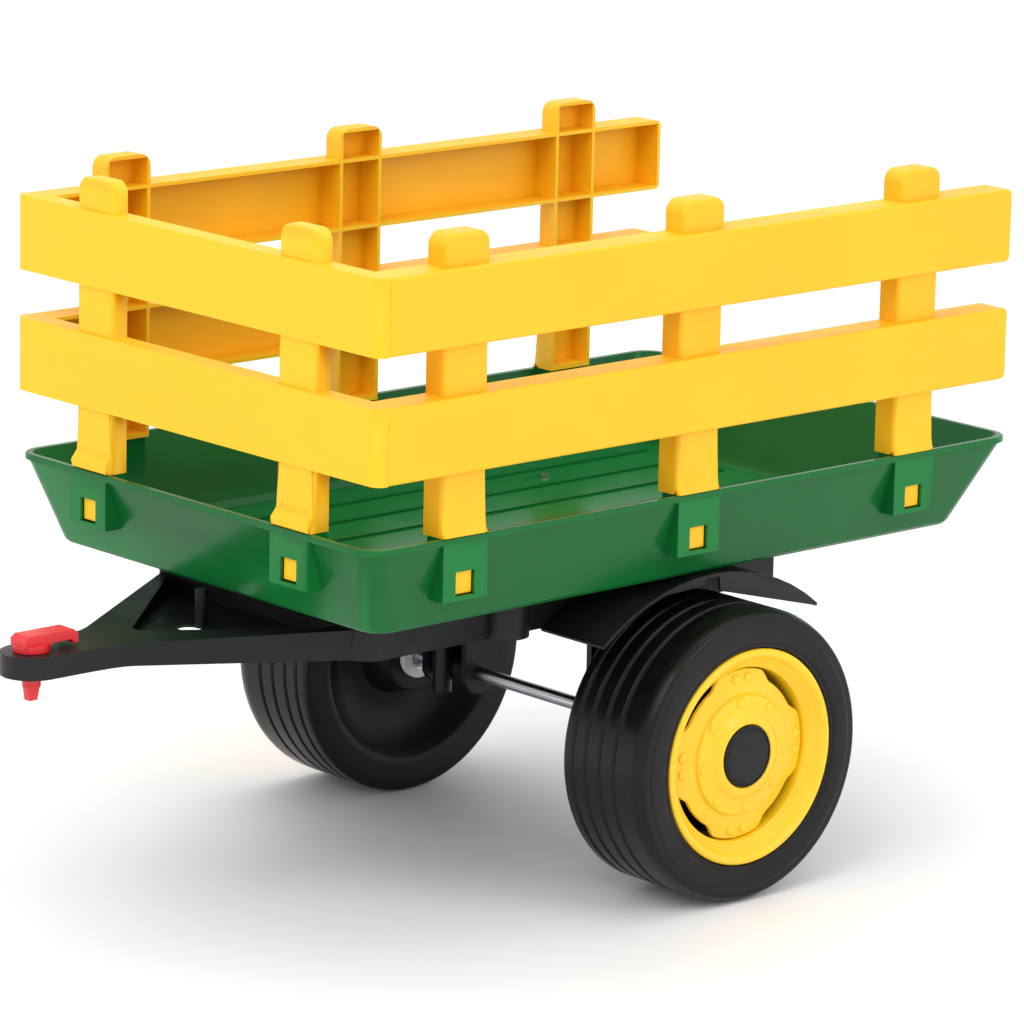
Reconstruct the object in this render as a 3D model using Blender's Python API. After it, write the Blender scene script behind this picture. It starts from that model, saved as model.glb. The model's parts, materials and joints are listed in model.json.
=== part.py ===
"""Stake-side trailer for a child's ride-on tractor.

A moulded tub stands on a ribbed drawbar chassis with one steel axle, two hollow wheels and
three snap-in slatted fences. Metres, +Z up, ground at z = 0. The hitch points along -Y, the
trailer's left is +X, and the origin lies on the ground at the middle of the trailer.
"""

import math

import bmesh
import bpy
from mathutils import Matrix, Vector

# Driving dimensions
GAP = 0.0003
WALL = 0.003

RIM_HALF, RIM_FRONT, RIM_REAR, RIM_TOP = 0.2290, -0.2725, 0.4530, 0.3475
FLOOR_HALF, FLOOR_FRONT, FLOOR_REAR, TUB_BOTTOM = 0.2070, -0.2470, 0.4095, 0.2725
LIP_WIDTH, LIP_DEPTH = 0.0025, 0.0050
CORNER_RADIUS = 0.022
RIDGE_PLACES = (-0.150, -0.100, -0.050, 0.0, 0.050, 0.100, 0.150)

# Fences: depth runs outwards. A fence's depths are those of its back, board face and post face
SIDE_BACK, FRONT_BACK = 0.2035, 0.2473
SIDE_DEPTHS = (0.0, 0.0290, 0.0220)
FRONT_DEPTHS = (0.0035, 0.0222, 0.0192)
BASE_DEPTH = 0.0250
LOWER_BOARD = (0.3993, 0.4613)
UPPER_BOARD = (0.5012, 0.5638)
POST_TOP, POST_WIDTH, POST_ROUND = 0.5900, 0.0466, 0.010
SIDE_POSTS = (-0.1735, 0.0805, 0.3315)
FRONT_POSTS = (-0.1290, 0.1290)
SEAM = -0.2590
SIDE_BOARD_END = 0.4355
RIB = 0.0032

# Sockets moulded into the tub's walls, in a fence's depth
SOCKET_DEPTHS = (0.0050, 0.0250)
SLOT_DEPTHS = (0.0080, 0.0220)
SIDE_SOCKET_BOTTOM, FRONT_SOCKET_BOTTOM = 0.2960, 0.3010
WINDOW_HALF = 0.0100

# Drawbar and chassis
PIN_Y, NOSE_RADIUS = -0.4275, 0.0255
NOSE_TOP, ARM_TOP = 0.2470, 0.2534
FLARE_START, FLARE_START_HALF = -0.3575, 0.0285
FLARE_END, CORNER = -0.2013, 0.0218
CHASSIS_HALF, CHASSIS_REAR = 0.1380, 0.2580
CHASSIS_TOP, CHASSIS_BOTTOM = TUB_BOTTOM - 0.0008, 0.2285
WELL_FLOOR = 0.2415
WELL_COLUMN, WELL_COLUMN_RADIUS = (0.0, -0.2560), 0.0050
WELL_HOLE, WELL_HOLE_RADIUS = (0.0, -0.2680), 0.0110
CELL_LINES_X = (-CHASSIS_HALF, -0.0685, 0.0, 0.0685, CHASSIS_HALF)
CELL_LINES_Y = (-0.1900, -0.1225, -0.0550, 0.0125, 0.0800, 0.1550, 0.2065, CHASSIS_REAR)
SHOULDER_BOSS = (0.1380, -0.0480)
SHOULDER_BOSS_RADIUS = 0.0195
TUB_SCREWS = ((0.1380, -0.0480), (0.1250, 0.2320))

# Axle and wheels
AXLE_Y, WHEEL_RADIUS = 0.1175, 0.1242
AXLE_RADIUS, AXLE_BORE, AXLE_HALF = 0.0060, 0.0063, 0.2512
RIM_OPENING = 0.0925
GROOVES = (0.2270, 0.2100, 0.1930, 0.1780)
SEGMENTS = 24

# Axle brackets, for the left side
BRACKET_WEBS = ((0.0765, 0.0825), (0.1290, 0.1345))
BRACKET_TOP = CHASSIS_TOP - WALL - GAP
COLUMN_X, COLUMN_Y, COLUMN_RADIUS = 0.1110, 0.1035, 0.0085
BRACKET_SCREWS = ((0.0930, 0.1425), (0.1200, 0.1425))

# Fenders, for the left side
FENDER_INNER, FENDER_OUTER = CHASSIS_HALF + GAP, 0.2140
FENDER_Y, FENDER_RADIUS, FENDER_TOP, FENDER_END = 0.1130, 0.1960, 0.2718, 0.2285
NOTCH_HALF = 0.0070
FENDER_SCREWS_Y = (0.0750, 0.1510)


def clear_scene():
    for obj in list(bpy.data.objects):
        bpy.data.objects.remove(obj, do_unlink=True)


def plastic(name, colour, roughness, metallic=0.0):
    material = bpy.data.materials.new(name)
    material.use_nodes = True
    shader = material.node_tree.nodes["Principled BSDF"]
    shader.inputs["Base Color"].default_value = (*colour, 1.0)
    shader.inputs["Roughness"].default_value = roughness
    shader.inputs["Metallic"].default_value = metallic
    return material


def upright(x, y, z):
    return (x, y, z)


def sideways(y, z, x):
    return (x, y, z)


def box(low, high):
    """Corners and faces of a box."""
    outline = [(low[0], low[1]), (high[0], low[1]), (high[0], high[1]), (low[0], high[1])]
    return prism(outline, low[2], high[2])


def prism(outline, low, high, place=upright):
    """An outline (a, b) drawn out from low to high; place turns (a, b, c) into a point."""
    count = len(outline)
    points = [place(a, b, level) for level in (low, high) for a, b in outline]
    faces = [tuple(range(count)), tuple(range(count, 2 * count))]
    for i in range(count):
        j = (i + 1) % count
        faces.append((i, j, j + count, i + count))
    return points, faces


def loft(rings):
    """A skin over rings of equal length, with the first and the last ring filled."""
    count = len(rings[0])
    points = [point for ring in rings for point in ring]
    faces = [tuple(range(count)), tuple(range(len(points) - count, len(points)))]
    for k in range(len(rings) - 1):
        start = k * count
        for i in range(count):
            j = (i + 1) % count
            faces.append((start + i, start + j, start + j + count, start + i + count))
    return points, faces


def turned(profile, centre, closed=True, segments=SEGMENTS):
    """A profile of (x, radius) turned about an axis along X through centre (y, z)."""
    points, rows = [], []
    for x, radius in profile:
        if radius == 0.0:
            rows.append([len(points)] * segments)
            points.append((x, *centre))
            continue
        rows.append(range(len(points), len(points) + segments))
        for k in range(segments):
            angle = 2 * math.pi * k / segments
            y = centre[0] + radius * math.cos(angle)
            points.append((x, y, centre[1] + radius * math.sin(angle)))
    faces = []
    pairs = list(zip(rows, rows[1:]))
    if closed:
        pairs.append((rows[-1], rows[0]))
    for one, two in pairs:
        for i in range(segments):
            j = (i + 1) % segments
            corners = (one[i], one[j], two[j], two[i])
            faces.append(tuple(dict.fromkeys(corners)))
    return points, faces


def mirrored(shape):
    points, faces = shape
    return [(-x, y, z) for x, y, z in points], faces


def solid(name, shapes, material=None):
    """One object from a list of (points, faces), with all faces pointing out."""
    bm = bmesh.new()
    for points, faces in shapes:
        verts = [bm.verts.new(point) for point in points]
        for face in faces:
            bm.faces.new([verts[i] for i in face])
    bmesh.ops.recalc_face_normals(bm, faces=bm.faces)
    mesh = bpy.data.meshes.new(name)
    bm.to_mesh(mesh)
    bm.free()
    mesh.shade_smooth()
    mesh.set_sharp_from_angle(angle=math.radians(35))
    obj = bpy.data.objects.new(name, mesh)
    bpy.context.scene.collection.objects.link(obj)
    if material:
        mesh.materials.append(material)
    return obj


def combine(obj, operation, name, shapes):
    """A Boolean of obj with a hidden tool made of shapes that don't touch each other."""
    tool = solid(f"{obj.name}_{name}", shapes)
    tool.hide_render = True
    tool.display_type = "WIRE"
    modifier = obj.modifiers.new(name, "BOOLEAN")
    modifier.operation = operation
    modifier.object = tool


def add(obj, name, shapes):
    combine(obj, "UNION", name, shapes)


def cut(obj, name, shapes):
    combine(obj, "DIFFERENCE", name, shapes)


def set_origin(obj, point):
    """Moves an object's origin to point and leaves its shape where it is."""
    place = Vector(point)
    obj.data.transform(Matrix.Translation(-place))
    obj.location = place


def arc(centre, radius, start, end, steps):
    """Points on an arc between two angles in degrees."""
    angles = [math.radians(start + (end - start) * k / steps) for k in range(steps + 1)]
    return [(centre[0] + radius * math.cos(a), centre[1] + radius * math.sin(a)) for a in angles]


def rounded_rectangle(low, high, radius, steps=5):
    """Outline of a rectangle with round corners, anticlockwise."""
    outline = []
    for cx, cy, start in (
        (high[0] - radius, high[1] - radius, 0),
        (low[0] + radius, high[1] - radius, 90),
        (low[0] + radius, low[1] + radius, 180),
        (high[0] - radius, low[1] + radius, 270),
    ):
        outline += arc((cx, cy), radius, start, start + 90, steps)
    return outline


def circle(centre, radius, steps=20):
    return arc(centre, radius, 0, 360 - 360 / steps, steps - 1)


# Tub


def tub_ring(half, front, rear, z, radius):
    return [(x, y, z) for x, y in rounded_rectangle((-half, front), (half, rear), radius)]


def tub_shell():
    """Outer wall, rolled rim and inner wall as one skin."""
    under_lip = RIM_TOP - LIP_DEPTH
    inner = LIP_WIDTH + WALL
    edge = 0.003
    return loft(
        [
            tub_ring(FLOOR_HALF - edge, FLOOR_FRONT + edge, FLOOR_REAR - edge, TUB_BOTTOM, 0.017),
            tub_ring(FLOOR_HALF, FLOOR_FRONT, FLOOR_REAR, TUB_BOTTOM + edge, 0.020),
            tub_ring(RIM_HALF - LIP_WIDTH, RIM_FRONT + LIP_WIDTH, RIM_REAR - LIP_WIDTH, under_lip, 0.0205),
            tub_ring(RIM_HALF, RIM_FRONT, RIM_REAR, under_lip, CORNER_RADIUS),
            tub_ring(RIM_HALF, RIM_FRONT, RIM_REAR, RIM_TOP - 0.001, CORNER_RADIUS),
            tub_ring(RIM_HALF - 0.001, RIM_FRONT + 0.001, RIM_REAR - 0.001, RIM_TOP, 0.0215),
            tub_ring(RIM_HALF - inner, RIM_FRONT + inner, RIM_REAR - inner, RIM_TOP, 0.0185),
            tub_ring(
                FLOOR_HALF - WALL,
                FLOOR_FRONT + WALL,
                FLOOR_REAR - WALL - 0.002,
                TUB_BOTTOM + WALL + 0.005,
                0.0180,
            ),
            tub_ring(
                FLOOR_HALF - WALL - 0.006,
                FLOOR_FRONT + WALL + 0.006,
                FLOOR_REAR - WALL - 0.009,
                TUB_BOTTOM + WALL,
                0.0130,
            ),
        ]
    )


def at_left(s, d, z):
    return (SIDE_BACK + d, s, z)


def at_right(s, d, z):
    return (-SIDE_BACK - d, s, z)


def at_front(s, d, z):
    return (s, -FRONT_BACK - d, z)


SOCKETS = [(at_left, s, SIDE_SOCKET_BOTTOM) for s in SIDE_POSTS]
SOCKETS += [(at_right, s, SIDE_SOCKET_BOTTOM) for s in SIDE_POSTS]
SOCKETS += [(at_front, s, FRONT_SOCKET_BOTTOM) for s in FRONT_POSTS]


def block(place, s, d, z):
    """A box in a fence's own directions: along it, outwards and up."""
    outline = [(s[0], d[0]), (s[1], d[0]), (s[1], d[1]), (s[0], d[1])]
    return prism(outline, z[0], z[1], place)


def make_tub(green):
    tub = solid("tub", [tub_shell()], green)
    half = POST_WIDTH / 2
    blocks, slots, windows = [], [], []
    for place, s, bottom in SOCKETS:
        blocks.append(block(place, (s - half, s + half), SOCKET_DEPTHS, (bottom, RIM_TOP - GAP)))
        slot_half = half - WALL
        slots.append(block(place, (s - slot_half, s + slot_half), SLOT_DEPTHS, (bottom + WALL, 0.36)))
        window_low = bottom + WALL + 0.0005
        heights = (window_low, window_low + 2 * WINDOW_HALF)
        through = (SLOT_DEPTHS[1] - 0.001, SOCKET_DEPTHS[1] + 0.001)
        windows.append(block(place, (s - WINDOW_HALF, s + WINDOW_HALF), through, heights))
    add(tub, "sockets", blocks)
    floor = TUB_BOTTOM + WALL
    ridges = [
        box((x - 0.004, -0.215, floor - 0.001), (x + 0.004, 0.375, floor + 0.002))
        for x in RIDGE_PLACES
    ]
    add(tub, "ridges", ridges)
    cut(tub, "slots", slots)
    cut(tub, "windows", windows)
    holes = [
        prism(circle(spot, 0.0027, 12), TUB_BOTTOM - 0.01, floor + 0.01)
        for spot in both_sides(TUB_SCREWS)
    ]
    cut(tub, "screw_holes", holes)


def both_sides(spots):
    return [(side * x, y) for side in (1, -1) for x, y in spots]


# Fences


def post_outline(s):
    """A post's face: straight sides and a round-cornered top."""
    half = POST_WIDTH / 2
    top = POST_TOP - POST_ROUND
    bottom = RIM_TOP + GAP
    right = arc((s + half - POST_ROUND, top), POST_ROUND, 0, 90, 4)
    left = arc((s - half + POST_ROUND, top), POST_ROUND, 90, 180, 4)
    return [(s - half, bottom), (s + half, bottom)] + right + left


def post_base(place, s, depths):
    """The foot of a post, curving out to the socket's face."""
    bottom = RIM_TOP + GAP
    back, face = depths[0] + 0.001, depths[2]
    curve = [(BASE_DEPTH, 0.0), (BASE_DEPTH, 0.005), (BASE_DEPTH - 0.001, 0.010)]
    curve += [(face + 0.0008, 0.016), (face - 0.0005, 0.022), (back, 0.022), (back, 0.0)]
    outline = [(d, bottom + z) for d, z in curve]
    half = POST_WIDTH / 2 - 0.0002
    return prism(outline, s - half, s + half, lambda d, z, along: place(along, d, z))


def tongue(place, s, socket_bottom):
    """The springy tongue that goes down into the socket, with the catch behind the window."""
    low = socket_bottom + WALL + 0.001
    outer = SLOT_DEPTHS[1] - GAP
    catch_top = low + 2 * WINDOW_HALF - 0.0015
    root = RIM_TOP + 0.004
    outline = [(0.0160, root), (0.0160, low), (outer - 0.001, low), (outer, low + 0.0010)]
    outline += [(outer, catch_top), (0.0190, catch_top + 0.002), (0.0190, root)]
    half = WINDOW_HALF - 0.0010
    return prism(outline, s - half, s + half, lambda d, z, along: place(along, d, z))


def post_pockets(place, s, depths):
    """The open cells on a post's inner side, between the ribs that carry on from the boards."""
    half = POST_WIDTH / 2 - RIB
    shallow, deep = depths[2] - WALL, depths[1] - WALL
    zones = [
        (RIM_TOP + GAP + 0.004, LOWER_BOARD[0], shallow),
        (LOWER_BOARD[0] + RIB, LOWER_BOARD[1] - RIB, deep),
        (LOWER_BOARD[1], UPPER_BOARD[0], shallow),
        (UPPER_BOARD[0] + RIB, UPPER_BOARD[1] - RIB, deep),
        (UPPER_BOARD[1], POST_TOP - RIB, shallow),
    ]
    return [block(place, (s - half, s + half), (-0.001, depth), (low, high)) for low, high, depth in zones]


def board_pockets(place, span, posts, depth):
    """The open cells behind the boards, from one post to the next."""
    half = POST_WIDTH / 2
    start, end = span
    edges = [start + RIB] + [s + side * half for s in posts for side in (-1, 1)] + [end - RIB]
    cells = []
    for low, high in (LOWER_BOARD, UPPER_BOARD):
        for left, right in zip(edges[::2], edges[1::2]):
            cells.append(block(place, (left, right), (-0.001, depth - WALL), (low + RIB, high - RIB)))
    return cells


def finish_fence(fence, place, posts, socket_bottom, span, depths):
    back, board, post = depths
    faces = [prism(post_outline(s), back, post, lambda along, z, d: place(along, d, z)) for s in posts]
    add(fence, "posts", faces)
    add(fence, "bases", [post_base(place, s, depths) for s in posts])
    add(fence, "tongues", [tongue(place, s, socket_bottom) for s in posts])
    cells = [cell for s in posts for cell in post_pockets(place, s, depths)]
    cut(fence, "post_cells", cells)
    cut(fence, "board_cells", board_pockets(place, span, posts, board))


def make_side_fence(name, place, yellow):
    boards = []
    for low, high in (LOWER_BOARD, UPPER_BOARD):
        radius = 0.005
        end = SIDE_BOARD_END - radius
        outline = [(SEAM + GAP, high), (SEAM + GAP, low)]
        outline += arc((end, low + radius), radius, -90, 0, 3) + arc((end, high - radius), radius, 0, 90, 3)
        boards.append(prism(outline, *SIDE_DEPTHS[:2], lambda along, z, d: place(along, d, z)))
    fence = solid(name, boards, yellow)
    span = (SEAM + GAP, SIDE_BOARD_END)
    finish_fence(fence, place, SIDE_POSTS, SIDE_SOCKET_BOTTOM, span, SIDE_DEPTHS)
    set_origin(fence, place(SIDE_POSTS[1], SIDE_DEPTHS[2] / 2, RIM_TOP))


def make_front_fence(yellow):
    """Its boards turn both corners and meet the side boards at a seam."""
    inner = SIDE_BACK - 0.0005
    outer = SIDE_BACK + SIDE_DEPTHS[1]
    seam = -SEAM - FRONT_BACK
    back, face, post = FRONT_DEPTHS
    radius = 0.010
    right = arc((outer - radius, face - radius), radius, 0, 90, 6)
    half_outline = [(inner, back), (inner, seam), (outer, seam)] + right
    outline = half_outline + [(-s, d) for s, d in reversed(half_outline)]
    boards = [prism(outline, low, high, at_front) for low, high in (LOWER_BOARD, UPPER_BOARD)]
    fence = solid("front_fence", boards, yellow)
    finish_fence(fence, at_front, FRONT_POSTS, FRONT_SOCKET_BOTTOM, (-inner, inner), FRONT_DEPTHS)
    wings = []
    for low, high in (LOWER_BOARD, UPPER_BOARD):
        for ends in ((inner + RIB, outer - RIB), (RIB - outer, -inner - RIB)):
            wings.append(block(at_front, ends, (seam - 0.001, face - 0.004), (low + RIB, high - RIB)))
    cut(fence, "wing_cells", wings)
    set_origin(fence, at_front(0.0, post / 2, RIM_TOP))


# Drawbar chassis


def chassis_outline():
    """Plan of the chassis: round nose, flaring arms, rounded shoulders, straight sides."""
    nose = arc((0.0, PIN_Y), NOSE_RADIUS, 180, 360, 10)
    right = [(0.0258, -0.3860), (0.0268, -0.3700), (FLARE_START_HALF, FLARE_START), (0.0318, -0.3490)]
    right += arc((CHASSIS_HALF - CORNER, FLARE_END + CORNER), CORNER, -75, 0, 5)
    right.append((CHASSIS_HALF, CHASSIS_REAR))
    left = [(-x, y) for x, y in reversed(right)]
    return nose + right + left


def ramp_cutter():
    """What lies over the nose and over the arms, as far back as the chassis block."""
    side = [
        (-0.50, NOSE_TOP),
        (FLARE_START, NOSE_TOP),
        (FLARE_END + 0.002, ARM_TOP),
        (FLARE_END + 0.002, 0.30),
        (-0.50, 0.30),
    ]
    return prism(side, -0.30, 0.30, sideways)


def well_outline():
    """The triangular well between the arms."""
    right = [(0.0040, -0.3230), (0.0075, -0.3200), (0.1020, -0.2120), (0.1020, FLARE_END + 0.0015)]
    return right + [(-x, y) for x, y in reversed(right)]


def chassis_cells():
    """The cells between the ribs on the underside."""
    cells = []
    ceiling = CHASSIS_TOP - WALL
    for left, right in zip(CELL_LINES_X, CELL_LINES_X[1:]):
        for front, rear in zip(CELL_LINES_Y, CELL_LINES_Y[1:]):
            low_x = left + (WALL if left == CELL_LINES_X[0] else WALL / 2)
            high_x = right - (WALL if right == CELL_LINES_X[-1] else WALL / 2)
            high_y = rear - (WALL if rear == CHASSIS_REAR else WALL / 2)
            cells.append(box((low_x, front + WALL / 2, 0.20), (high_x, high_y, ceiling)))
    return cells


def make_drawbar(black):
    drawbar = solid("drawbar", [prism(chassis_outline(), CHASSIS_BOTTOM, CHASSIS_TOP)], black)
    cut(drawbar, "ramp", [ramp_cutter()])
    cut(drawbar, "well", [prism(well_outline(), WELL_FLOOR, 0.30)])
    under_well = box((-0.058, -0.2850, 0.20), (0.058, -0.2060, WELL_FLOOR - WALL))
    cut(drawbar, "under_well", [under_well])
    cut(drawbar, "well_hole", [prism(circle(WELL_HOLE, WELL_HOLE_RADIUS, 24), 0.20, WELL_FLOOR + 0.002)])
    column = prism(circle(WELL_COLUMN, WELL_COLUMN_RADIUS, 16), WELL_FLOOR - 0.002, CHASSIS_TOP)
    add(drawbar, "column", [column])
    cut(drawbar, "cells", chassis_cells())
    bosses = [
        prism(circle(spot, SHOULDER_BOSS_RADIUS, 24), CHASSIS_BOTTOM + 0.0005, CHASSIS_TOP)
        for spot in both_sides([SHOULDER_BOSS])
    ]
    add(drawbar, "shoulder_bosses", bosses)
    rear_bosses = [
        prism(circle(spot, 0.0075, 16), 0.2450, CHASSIS_TOP - 0.001)
        for spot in both_sides(TUB_SCREWS[1:])
    ]
    add(drawbar, "rear_bosses", rear_bosses)
    bores = [prism(circle((0.0, PIN_Y), 0.0082, 20), 0.20, 0.30)]
    bores += [prism(circle(spot, 0.0027, 12), 0.2500, 0.30) for spot in both_sides(TUB_SCREWS)]
    bores += [prism(circle(spot, 0.0022, 10), 0.2600, 0.30) for spot in both_sides(BRACKET_SCREWS)]
    cut(drawbar, "bores", bores)
    side_holes = []
    for y in FENDER_SCREWS_Y:
        for reach in ((0.12, 0.15), (-0.15, -0.12)):
            side_holes.append(prism(circle((y, 0.2530), 0.0022, 10), reach[0], reach[1], sideways))
    cut(drawbar, "fender_holes", side_holes)
    throat = [(-0.018, -0.3450), (0.018, -0.3450), (0.030, -0.3300), (-0.030, -0.3300)]
    cut(drawbar, "throat", [prism(throat, 0.20, NOSE_TOP - 0.006)])


def make_hitch_pin(red):
    """Turned on its side in the profile of Y and Z: shank, barb, head and finger lever."""
    shank = prism(circle((0.0, PIN_Y), 0.0075, 18), 0.2180, NOSE_TOP + 0.003)
    pin = solid("hitch_pin", [shank], red)
    tip = [(PIN_Y - 0.0045, 0.2070), (PIN_Y + 0.0035, 0.2070)]
    tip += [(PIN_Y + 0.0072, 0.2240), (PIN_Y - 0.0070, 0.2240)]
    add(pin, "tip", [prism(tip, -0.0035, 0.0035, sideways)])
    head_low = NOSE_TOP + GAP
    add(pin, "head", [prism(circle((0.0, PIN_Y), 0.0150, 24), head_low, head_low + 0.0060)])
    top = head_low + 0.0138
    lever = [(PIN_Y - 0.0135, head_low + 0.0040), (PIN_Y - 0.0135, top - 0.003), (PIN_Y - 0.0095, top)]
    lever += [(PIN_Y + 0.0350, top), (PIN_Y + 0.0395, top - 0.004), (PIN_Y + 0.0395, head_low + 0.0025)]
    lever += [(PIN_Y + 0.0345, head_low + 0.0025), (PIN_Y + 0.0330, head_low + 0.0058)]
    lever += [(PIN_Y + 0.0150, head_low + 0.0058), (PIN_Y + 0.0120, head_low + 0.0040)]
    add(pin, "lever", [prism(lever, -0.0095, 0.0095, sideways)])
    set_origin(pin, (0.0, PIN_Y, NOSE_TOP))


# Axle, brackets and fenders


def web_outline():
    """A bracket web: wide at the flange and round under the axle."""
    foot = arc((AXLE_Y, WHEEL_RADIUS), 0.0180, 200, 340, 8)
    head = [(AXLE_Y + 0.0230, 0.2000), (AXLE_Y + 0.0250, BRACKET_TOP), (AXLE_Y - 0.0180, BRACKET_TOP)]
    return foot + head + [(AXLE_Y - 0.0175, 0.2000)]


def make_bracket(side, black):
    mirror = mirrored if side == "right" else lambda shape: shape
    inner, outer = BRACKET_WEBS
    flange_inner = CELL_LINES_X[3] + WALL / 2 + GAP
    low, high = CELL_LINES_Y[4] + WALL / 2 + GAP, CELL_LINES_Y[5] - WALL / 2 - GAP
    flange = box((flange_inner, low, BRACKET_TOP - WALL), (outer[1], high, BRACKET_TOP))
    bracket = solid(f"{side}_axle_bracket", [mirror(flange)], black)
    webs = [mirror(prism(web_outline(), *web, sideways)) for web in BRACKET_WEBS]
    add(bracket, "webs", webs)
    stay_low = (inner[0] + 0.001, AXLE_Y - 0.0015, 0.1300)
    stay = box(stay_low, (outer[1] - 0.001, AXLE_Y + 0.0015, BRACKET_TOP - 0.001))
    add(bracket, "stay", [mirror(stay)])
    column = prism(circle((COLUMN_X, COLUMN_Y), COLUMN_RADIUS, 18), 0.1040, BRACKET_TOP - 0.001)
    add(bracket, "column", [mirror(column)])
    sleeve = prism(circle((AXLE_Y, WHEEL_RADIUS), 0.0115, 20), inner[0] + 0.002, outer[1] - 0.002, sideways)
    add(bracket, "sleeve", [mirror(sleeve)])
    bore = prism(circle((AXLE_Y, WHEEL_RADIUS), AXLE_BORE, 20), 0.05, 0.16, sideways)
    cut(bracket, "bore", [mirror(bore)])
    holes = [prism(circle(spot, 0.0022, 10), 0.2500, 0.2800) for spot in BRACKET_SCREWS]
    cut(bracket, "screw_holes", [mirror(hole) for hole in holes])


def fender_arc(offset, steps=14):
    """Points of the fender's curve, offset inwards, from front to rear."""
    radius = FENDER_RADIUS - offset
    centre = (FENDER_Y, FENDER_TOP - FENDER_RADIUS)
    reach = math.degrees(math.acos((FENDER_END - centre[1]) / FENDER_RADIUS))
    return arc(centre, radius, 90 + reach, 90 - reach, steps)


def fender_skirt(direction, drop, reach):
    """The chord-cut web under the outer edge, in front of or behind the notch."""
    curve = [point for point in fender_arc(0.001) if NOTCH_HALF < (point[0] - FENDER_Y) * direction < reach]
    if direction < 0:
        curve.reverse()
    notch_top = (FENDER_Y + direction * NOTCH_HALF, FENDER_TOP - 0.0015)
    notch_low = (FENDER_Y + direction * (NOTCH_HALF + 0.002), FENDER_TOP - drop)
    tip = (curve[-1][0], curve[-1][1] - 0.0015)
    return prism([notch_low, notch_top] + curve + [tip], FENDER_OUTER - WALL, FENDER_OUTER - 0.0002, sideways)


def make_fender(side, black):
    mirror = mirrored if side == "right" else lambda shape: shape
    outline = fender_arc(0.0) + fender_arc(WALL)[::-1]
    plate = prism(outline, FENDER_INNER, FENDER_OUTER, sideways)
    fender = solid(f"{side}_fender", [mirror(plate)], black)
    skirts = [mirror(fender_skirt(-1, 0.0085, 0.060)), mirror(fender_skirt(1, 0.0160, 0.150))]
    add(fender, "skirts", skirts)
    top = fender_arc(0.001)
    flange = [point for point in top if abs(point[0] - FENDER_Y) < 0.075]
    flange = [(flange[0][0], 0.2400)] + flange + [(flange[-1][0], 0.2400)]
    add(fender, "flange", [mirror(prism(flange, FENDER_INNER + 0.0001, FENDER_INNER + WALL, sideways))])
    holes = [prism(circle((y, 0.2530), 0.0022, 10), 0.13, 0.15, sideways) for y in FENDER_SCREWS_Y]
    cut(fender, "screw_holes", [mirror(hole) for hole in holes])


# Wheels


def tyre_profile():
    """Closed section of the hollow moulded wheel: sidewall, tread, dish and hub tube."""
    outer = [(0.2545, RIM_OPENING), (0.2590, RIM_OPENING), (0.2605, 0.0970), (0.2603, 0.1170)]
    outer += [(0.2580, 0.1211), (0.2520, 0.1232), (0.2460, WHEEL_RADIUS)]
    for x in GROOVES:
        outer += [(x + 0.0020, WHEEL_RADIUS), (x, WHEEL_RADIUS - 0.0025), (x - 0.0020, WHEEL_RADIUS)]
    outer += [(0.1700, WHEEL_RADIUS - 0.0005), (0.1655, 0.1200), (0.1650, 0.0960), (0.1780, 0.0880)]
    outer += [(0.1930, 0.0620), (0.1900, 0.0400), (0.1620, 0.0300), (0.1620, 0.0118)]
    inner = [(0.2452, 0.0118), (0.2452, 0.0150), (0.1930, 0.0165), (0.1935, 0.0375), (0.1965, 0.0640)]
    inner += [(0.1815, 0.0910), (0.1700, 0.0985), (0.1730, 0.1195), (0.2450, 0.1195), (0.2570, 0.1020)]
    return outer + inner


def hub_disc_profile():
    """Closed section of the dished hub disc, outer face first."""
    face = [(0.2575, 0.0913), (0.2605, 0.0900), (0.2610, 0.0880), (0.2575, 0.0845), (0.2500, 0.0760)]
    face += [(0.2452, 0.0725), (0.2465, 0.0560), (0.2470, 0.0512), (0.2490, 0.0500), (0.2495, 0.0385)]
    face += [(0.2550, 0.0325), (0.2560, 0.0300), (0.2555, 0.0266)]
    back = [(0.2490, 0.0266), (0.2490, 0.0318), (0.2463, 0.0372), (0.2460, 0.0480), (0.2435, 0.0502)]
    back += [(0.2420, 0.0690), (0.2415, 0.0727), (0.2150, 0.0730), (0.2150, 0.0760), (0.2430, 0.0770)]
    back += [(0.2470, 0.0780), (0.2550, 0.0865)]
    return face + back


def make_hub_disc(side, place, yellow):
    disc = solid(f"{side}_hub_disc", [place(turned(hub_disc_profile(), (AXLE_Y, WHEEL_RADIUS)))], yellow)
    slots = []
    for k in range(4):
        middle = 45 + 90 * k
        outline = arc((AXLE_Y, WHEEL_RADIUS), 0.0712, middle - 24, middle + 24, 6)
        outline += arc((AXLE_Y, WHEEL_RADIUS), 0.0650, middle + 16, middle - 16, 4)
        slots.append(place(prism(outline, 0.2300, 0.2520, sideways)))
    cut(disc, "slots", slots)
    return disc


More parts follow.
